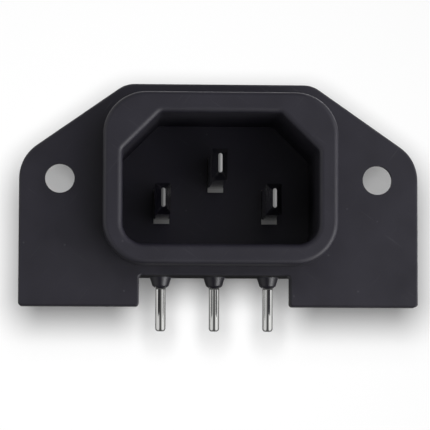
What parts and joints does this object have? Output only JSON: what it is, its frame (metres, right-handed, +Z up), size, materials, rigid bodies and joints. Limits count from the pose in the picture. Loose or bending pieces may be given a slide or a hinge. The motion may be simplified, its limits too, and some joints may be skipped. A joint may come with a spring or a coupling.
{
  "type": "pcb power socket",
  "caption": "Black panel-mount appliance inlet for a circuit board: screw flange with lower wings, keyed recessed socket with bevelled blades, and right-angle solder tails.",
  "frame": {"origin": "midway between the two screw holes, on the front face of the flange", "axes": "+X along the flange to the right as seen from the front, +Y from the mouth to the rear, +Z up, away from the solder tails"},
  "size_m": [0.0502, 0.0222, 0.0308],
  "materials": {
    "black_plastic": "moulded thermoplastic with a fine eroded grain",
    "plated_brass": "bright nickel plating over brass"
  },
  "bodies": {
    "root": {"housing": "black_plastic", "rear_cover": "black_plastic", "left_contact": "plated_brass", "right_contact": "plated_brass", "earth_contact": "plated_brass"}
  },
  "joints": []
}
